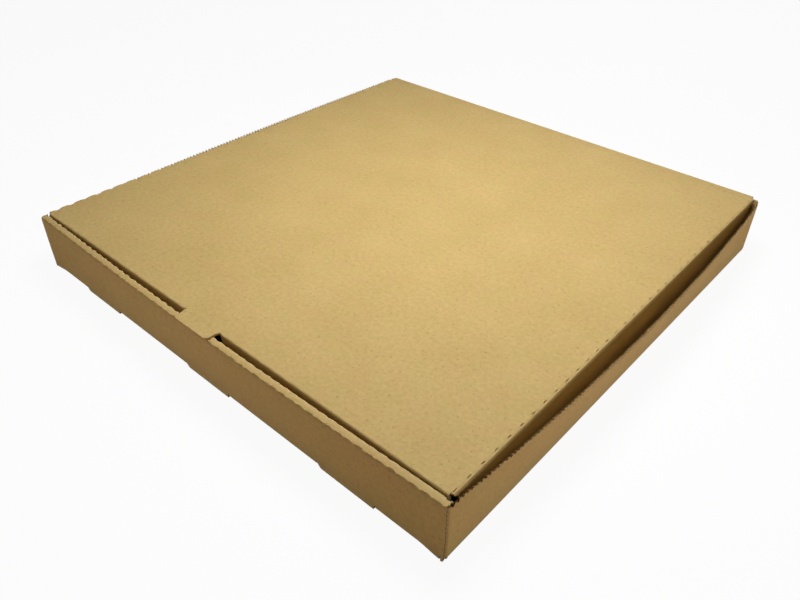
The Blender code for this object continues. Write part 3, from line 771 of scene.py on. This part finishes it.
def buildTuckFlap(sheet, x):
    # Crease and flap in one profile, cut away round the thumb tab
    origin, distance = np.array([0, panelFrontY, lidZ]), sharpStations(band, tuckTurn)
    profile, normals = folded(origin, -back, up, stations(0, distance), [(band, tuckTurn, sharp)])
    profile, normals = profile[1:], normals[1:]
    notch = thumb["length"] + thumb["cut"]
    low, high = notchEnds
    pull = np.interp(x, [low - tuck["pulled"], low, high, high + tuck["pulled"]], [0, 1, -1, 0])
    sink = lid["frontRipple"] * sawtooth(x + 2.0, lid["ripplePitch"], 0.6)[:, None]
    inward = 0.2 * back - 0.8 * up
    v = lidV - panelFrontY
    inFlap = np.abs(x) <= tuckEndX + slack

    def hang(part, depth):
        fill = insetAt(np.minimum(depth, notch), notch, 0.0, thumb["corner"])
        narrow = 1 - insetAt(depth, tuck["depth"], 0.0, tuck["corner"]) / tuckEndX
        across = (x[part, None] + fill * pull[part, None]) * narrow
        points = profile[-1] + across[..., None] * right + depth[:, None] * hangingDown(tuckTurn, -back)
        points = points + (sink[part] * np.exp(-depth / lid["rippleFade"]))[..., None] * inward
        sheet.patch(points, normals[-1], u=across, v=v + distance[-1] + depth, **flapTraits(depth, tuckTurn))

    for part in (inFlap & (x <= low + slack), inFlap & (x >= high - slack)):
        moved = sink[part] * ease(band, band + 0.5 * sharp * tuckTurn, distance)
        points = swept(profile, x[part], right) + moved[..., None] * inward
        sheet.patch(points, normals, u=x[part, None], v=v + distance, **foldTraits(distance, tuckTurn))
        hang(part, np.array([0, band, *tuck["rowsBesideTab"], notch]))
    hang(inFlap, np.array([notch, *tuck["rows"], tuck["depth"]]))


def buildThumbTab(sheet, x):
    # It lies flat on over the front wall
    total = thumb["length"] + tuckSetback
    depth = np.array([0, *thumb["rows"], total])
    slant = (thumb["rootWidth"] - thumb["tipWidth"]) / 2
    narrow = 1 - insetAt(depth, total, slant, thumb["corner"]) / (thumb["rootWidth"] / 2)
    across = thumb["shift"] + (x[:, None] - thumb["shift"]) * narrow
    y = panelFrontY - band - depth
    flatPatch(sheet, across, y, groove=board["shallow"])


def buildLid():
    sheet = Board()
    edgeX = panelEdgeX(panelFrontY)
    keys = [-edgeX, -tuckEndX, notchEnds[0], *thumbEnds, notchEnds[1], tuckEndX, edgeX]
    frontX = through(keys, lid["column"])
    flapFront, flapRear = lidFrontY + sideFlap["frontGap"], lidRearY - sideFlap["rearGap"]
    sunkY = backY - hingeBand["onLid"]
    sinkY = sunkY - hingeBand["sinkStep"]
    hangY = through([flapFront, sunkY - lid["lastRipple"], sinkY, sunkY, flapRear], lid["ripplePitch"] / 12)
    gridY = stations(panelFrontY, hangY, lidRearY)
    linesX = nearest(frontX, through([-edgeX, edgeX], board["cell"]))
    cellsY = through([flapFront, sunkY - lid["lastCell"]], board["cell"])
    linesY = nearest(gridY, [panelFrontY, *cellsY, sinkY, sunkY, flapRear, lidRearY])
    across = frontX[:, None] * panelEdgeX(gridY) / edgeX
    sunk = -hingeBand["sink"] * (gridY >= sunkY)
    points = place(across, gridY, lidZ)
    sheet.panel(points, up, linesX, linesY, u=across, v=lidV - gridY, outer=sunk, inner=sunk)

    # Flat bands beside the creases, with a round bite where two of them would meet
    relief = lid["reliefRadius"]
    angle = np.linspace(math.asin(tuckSetback / relief), quarter - math.asin(sideSetback / relief), 6)
    bite = np.array([lidFrontX, lidFrontY]) + relief * np.stack([-np.cos(angle), np.sin(angle)], axis=1)
    rows = np.array([0, band - board["fineRow"], band])
    y = panelFrontY - rows
    x = frontX[:, None] + (np.clip(frontX, -bite[0, 0], bite[0, 0]) - frontX)[:, None] * rows / band
    flatPatch(sheet, x, y, inner=crushed(rows, (band, tuckTurn)))
    columns = np.array([0, lid["slitStart"], lid["slitStart"] + lid["slitWidth"], band])
    for side in (-1, 1):
        for part in (gridY <= flapFront + slack, gridY >= flapRear - slack):
            x = panelEdgeX(gridY[part])[:, None] + columns
            y = np.repeat(gridY[part, None], len(columns), axis=1)
            if y[0, 0] < 0:
                x[0] += (bite[-1, 0] - x[0, -1]) * columns / band
                y[0] += (bite[-1, 1] - y[0, 0]) * columns / band
            flatPatch(sheet, side * x, y, outer=sunk[part, None],
                      inner=np.minimum(sunk[part, None], crushed(columns, (band, sideTurn))))
        # The face between the two bands and the bite
        start = np.array([edgeX, panelFrontY])
        toSide = start + (bite[-1] - start) * (columns[1:-1, None] / band)
        toFront = start + (bite[0] - start) * (rows[1] / band)
        ring = join([[start, toFront], bite, toSide[::-1]])
        ring = place(side * ring[:, 0], ring[:, 1], lidZ)
        sheet.add(ring, up, [np.arange(len(ring))[None, ::side]], u=ring[:, 0], v=lidV - ring[:, 1])
        buildSideFlap(sheet, side, hangY)
    buildTuckFlap(sheet, frontX)
    buildThumbTab(sheet, within(frontX, *thumbEnds))
    sheet.weld()
    return sheet


# The two liners run on over the crease between tray and lid, and bend with it

hingeLiner = {"edgeLiner": 0.1, "innerRadius": 0.3, "short": 0.05, "bendRow": 0.3, "bendSteps": 14}


def buildHingeLiner(outside):
    # Up the wall, round the hinge line (outside) or round the inner corner, and along the lid
    sheet = Board(hingeBand["liner"], hingeLiner["edgeLiner"], 0.0)
    side = 1 if outside else -1
    radius = bandRadius if outside else hingeLiner["innerRadius"]
    past = 0 if outside else bandRadius + radius
    wallY = backY + side * bandRadius
    startZ, bendZ = lidZ - hingeBand["onWall"] + hingeLiner["short"], lidZ - past
    bend = bendZ - startZ
    bent = bend + radius * quarter
    distance = stations(0, bend - hingeLiner["bendRow"], np.linspace(bend, bent, hingeLiner["bendSteps"] + 1),
                        bent + hingeLiner["bendRow"], bent + hingeBand["onLid"] - hingeLiner["short"] - past)
    folds = [(bend, side * quarter, radius)]
    points, normals = folded(np.array([0, wallY, startZ]), up, side * back, distance, folds)
    x = through([-hingeBand["end"], hingeBand["end"]], board["cell"])
    sheet.patch(swept(points, x, right), normals, u=x[:, None], v=hingeV - bend + distance,
                crease=bell((bend + bent) / 2, board["creaseMark"], distance))
    sheet.weld()
    return sheet, np.array([0, wallY, bendZ]) * metre, np.array([0, wallY - radius, bendZ + radius]) * metre


# Materials

kraft = {
    "light": (0.655, 0.476, 0.198),
    "dark": (0.500, 0.346, 0.118),
    "pink": (1.015, 0.985, 0.97),
    "yellow": (0.99, 1.005, 0.95),
    "rawEdge": (0.70, 0.52, 0.27),
    "inGroove": (0.05, 0.026, 0.010),
    "speck": (0.20, 0.12, 0.05),
    "creased": (0.43, 0.285, 0.105),
    "washboard": 0.012,   # how much the flutes show in the colour
    "washboardHeight": 0.006,
    "roughness": 0.80,
    "specular": 0.35,
    # Each noise: scale for a metre, detail and roughness; then its weight in the tone
    "noises": {"cloud": (22, 3, 0.5), "mottle": (330, 3, 0.6), "grain": (1300, 2, 0.7)},
    "weights": {"cloud": 0.7, "mottle": 1.25, "grain": 0.6, "fibres": 0.5},
    "fibreScale": (0.16, 1.9, 1),
}
flutingTones = {"dark": (0.50, 0.34, 0.14), "light": (0.68, 0.50, 0.25), "specular": 0.3, "roughness": 0.85}


class Wire:
    # A socket that can be added, taken away and multiplied: each sign adds a Math node
    def __init__(self, paint, socket):
        self.paint, self.socket = paint, socket

    def __add__(self, other):
        return self.paint.maths("ADD", self, other)

    def __mul__(self, other):
        return self.paint.maths("MULTIPLY", self, other)

    def __sub__(self, other):
        return self.paint.maths("SUBTRACT", self, other)

    def __rsub__(self, other):
        return self.paint.maths("SUBTRACT", other, self)

    __radd__, __rmul__ = __add__, __mul__

    def between(self, low, high):
        return self.paint.node("MapRange", {"interpolation_type": "SMOOTHSTEP"},
                               {"Value": self, "From Min": low, "From Max": high})


class Paint:
    # Builds the nodes of one material or world
    def __init__(self, owner):
        owner.use_nodes = True
        self.owner, self.nodes, self.links = owner, owner.node_tree.nodes, owner.node_tree.links

    def node(self, kind, settings, inputs, output=0):
        made = self.nodes.new("ShaderNode" + kind)
        for name, value in settings.items():
            setattr(made, name, value)
        for name, value in inputs.items():
            self.feed(made.inputs[name], value)
        return Wire(self, made.outputs[output])

    def feed(self, socket, value):
        if isinstance(value, Wire):
            self.links.new(value.socket, socket)
        elif isinstance(value, tuple) and socket.type == "RGBA":
            socket.default_value = (*value, 1)
        else:
            socket.default_value = value

    def maths(self, operation, first, *second):
        return self.node("Math", {"operation": operation}, dict(enumerate((first, *second))))

    def mix(self, factor, first, second, blend="MIX"):
        settings = {"data_type": "RGBA", "blend_type": blend}
        return self.node("Mix", settings, {0: factor, 6: first, 7: second}, 2)

    def noise(self, vector, scale, detail=2.0, roughness=0.5):
        inputs = {"Vector": vector, "Scale": scale, "Detail": detail, "Roughness": roughness}
        return self.node("TexNoise", {}, inputs)

    def trait(self, name):
        return self.node("Attribute", {"attribute_name": name}, {}, "Fac")

    def seenDirectly(self):
        # 1 for what the camera, a reflection or glass sees, 0 for light that bounces
        camera, glossy, glass = (self.node("LightPath", {}, {}, f"Is {ray} Ray")
                                 for ray in ("Camera", "Glossy", "Transmission"))
        return self.maths("MAXIMUM", self.maths("MAXIMUM", camera, glossy), glass)

    def finish(self, colour, roughness, height, specular):
        bump = self.node("Bump", {}, {"Height": height, "Distance": metre, "Strength": 1.0})
        parts = {"Base Color": colour, "Roughness": roughness, "Normal": bump, "Specular IOR Level": specular}
        for name, value in parts.items():
            self.feed(self.nodes["Principled BSDF"].inputs[name], value)
        return self.owner


def kraftPaper(name):
    paint = Paint(bpy.data.materials.new(name))
    spot = paint.node("TexCoord", {}, {}, "Object")
    blank = paint.node("UVMap", {"uv_map": "blank"}, {})
    v = paint.node("SeparateXYZ", {}, {0: blank}, "Y")
    wave = paint.maths("SINE", v * (2 * math.pi / board["flutePitch"]))
    noises = {key: paint.noise(spot, *values) for key, values in kraft["noises"].items()}
    along = paint.node("Mapping", {}, {0: blank, "Scale": kraft["fibreScale"]})
    fibres = noises["fibres"] = paint.noise(along, 1.0, 3, 0.65)
    mottle = noises["mottle"]
    # Tone: middle + weight * (noise - middle) for each noise + flutes
    tone = 0.5 + kraft["washboard"] * wave
    for key, weight in kraft["weights"].items():
        tone = tone + weight * (noises[key] - 0.5)
    colour = paint.mix(tone, kraft["dark"], kraft["light"])
    tint = paint.mix(paint.noise(spot, 60).between(0.35, 0.65), kraft["pink"], kraft["yellow"])
    colour = paint.mix(1.0, colour, tint, "MULTIPLY")
    layers = (
        ("speck", 0.35 * paint.noise(spot, 480, 1).between(0.64, 0.76)),
        # Crease marks, and painted shade on the flaps' outer faces, on the inner panel and where the side
        # walls' tops dip
        ("creased", 0.30 * paint.trait("crease") * (0.6 + 0.8 * mottle)),
        # Wear on the slots' lips, and painted highlights on the strip's inner ridge and the side walls' teeth
        ("rawEdge", 0.40 * paint.trait("wear")),
        ("rawEdge", 0.75 * paint.trait("raw")),
        # Painted shade in the grooves of the raw edges
        ("inGroove", 0.92 * paint.trait("deep").between(0.0, 0.3)),
    )
    for layer, share in layers:
        colour = paint.mix(share, colour, kraft[layer])
    height = kraft["washboardHeight"] * wave + 0.03 * noises["grain"] + 0.05 * fibres + 0.05 * mottle
    return paint.finish(colour, kraft["roughness"] + 0.14 * (mottle - 0.5), height, kraft["specular"])


def flutingPaper(name):
    # The wavy paper is darker, and gets more painted shade deeper into the board
    paint = Paint(bpy.data.materials.new(name))
    grain = paint.noise(paint.node("TexCoord", {}, {}, "Object"), 900, 2, 0.6)
    colour = paint.mix(grain, flutingTones["dark"], flutingTones["light"])
    # Painted shade on the rings that lie deep in the groove
    colour = paint.mix(0.9 * paint.trait("deep").between(0.0, 0.6), colour, kraft["inGroove"])
    roughness = flutingTones["roughness"] + 0.1 * (grain - 0.5)
    return paint.finish(colour, roughness, 0.03 * grain, flutingTones["specular"])


paper = kraftPaper("kraft_liner")
wavy = flutingPaper("fluting_paper")
for body, slotName, build in (("tray", "kraft_board_tray", buildTray), ("lid", "kraft_board_lid", buildLid)):
    sheet = build()
    boardPiece = sheet.skins(body + "_board", paper)
    flutingPiece = sheet.fluting(body + "_fluting", wavy)
    for piece in (boardPiece, flutingPiece):
        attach(piece, body)
        print("made", piece.name, len(piece.data.vertices), "points,", len(piece.data.loops), "corners")
    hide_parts(body)
for name, outside in (("hinge_liner_outside", True), ("hinge_liner_inside", False)):
    sheet, start, end = buildHingeLiner(outside)
    piece = sheet.skins(name, paper)
    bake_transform(piece)
    print("made", name)


# The studio

studio = {
    "worldLight": (0.062, 0.053, 0.042),
    "floorSeen": (0.98, 0.98, 0.98),
    "floorGlow": 0.94,   # share of the seen floor that is plain white, which softens its shadow
    "floorBounce": (0.60, 0.34, 0.17),   # a warm table top, as the walls show it
    "floorSize": 12000.0,
    "floorSink": 0.1,
    "lens": 32.85,
    "cameraPlace": (334.9, -387.1, 343.0),
    "cameraAim": (52.9, -69.4, 20.0),
    "cameraRoll": 0.475,
    "nearest": 10.0,
}
lamps = {   # here the lengths are in metres, and the power in watts
    "key": {"place": (0.05, 0.01, 0.52), "aim": (0.05, 0.01, 0.0), "size": 0.26, "power": 2.5},
    "sheen": {"place": (-0.15, 0.90, 0.60), "aim": (0.1, 0.0, 0.04), "size": 0.6, "power": 1.5},
    "side": {"place": (1.10, -0.02, 0.04), "aim": (0.2, -0.02, 0.025), "size": 0.08, "power": 1.95},
    "front": {"place": (-0.04, -0.75, 0.035), "aim": (-0.02, -0.2, 0.025), "size": 0.08, "power": 0.5},
}


def makeFloor():
    mesh = bpy.data.meshes.new("floor")
    corners = np.array([[-1, -1, 0], [1, -1, 0], [1, 1, 0], [-1, 1, 0]]) * studio["floorSize"] / 2
    mesh.from_pydata(((corners - studio["floorSink"] * up) * metre).tolist(), [], [(0, 1, 2, 3)])
    paint = Paint(bpy.data.materials.new("floor_white"))
    paint.nodes.remove(paint.nodes["Principled BSDF"])
    bounce = paint.node("BsdfDiffuse", {}, {0: studio["floorBounce"]})
    lit = paint.node("BsdfDiffuse", {}, {0: studio["floorSeen"]})
    seen = paint.node("MixShader", {}, {0: studio["floorGlow"], 1: lit, 2: paint.node("Emission", {}, {})})
    chosen = paint.node("MixShader", {}, {0: paint.seenDirectly(), 1: bounce, 2: seen})
    paint.feed(paint.nodes["Material Output"].inputs["Surface"], chosen)
    mesh.materials.append(paint.owner)
    addItem("floor", mesh)


def makeWorld():
    paint = Paint(bpy.data.worlds.new("studio"))
    bpy.context.scene.world = paint.owner
    tone = paint.mix(paint.seenDirectly(), studio["worldLight"], (1.0, 1.0, 1.0))
    paint.feed(paint.nodes["Background"].inputs["Color"], tone)


def addAimed(name, data, spot, aim):
    item = addItem(name, data)
    item.location = spot
    item.rotation_mode = "QUATERNION"
    item.rotation_quaternion = (Vector(aim) - Vector(spot)).to_track_quat("-Z", "Y")
    return item


def makeLamps():
    for name, lamp in lamps.items():
        light = bpy.data.lights.new(name, "AREA")
        light.shape, light.size, light.energy = "DISK", lamp["size"], lamp["power"]
        addAimed(name, light, lamp["place"], lamp["aim"]).visible_camera = False


def makeCamera():
    camera = bpy.data.cameras.new("camera")
    camera.lens, camera.clip_start = studio["lens"], studio["nearest"] * metre
    spot, aim = (np.array(studio[key]) * metre for key in ("cameraPlace", "cameraAim"))
    item = addAimed("camera", camera, spot, aim)
    roll = Quaternion((0, 0, 1), math.radians(studio["cameraRoll"]))
    item.rotation_quaternion = item.rotation_quaternion @ roll
    bpy.context.scene.camera = item


makeFloor()
makeWorld()
makeLamps()
makeCamera()
bpy.context.scene.view_settings.view_transform = "Standard"
print("studio ready")
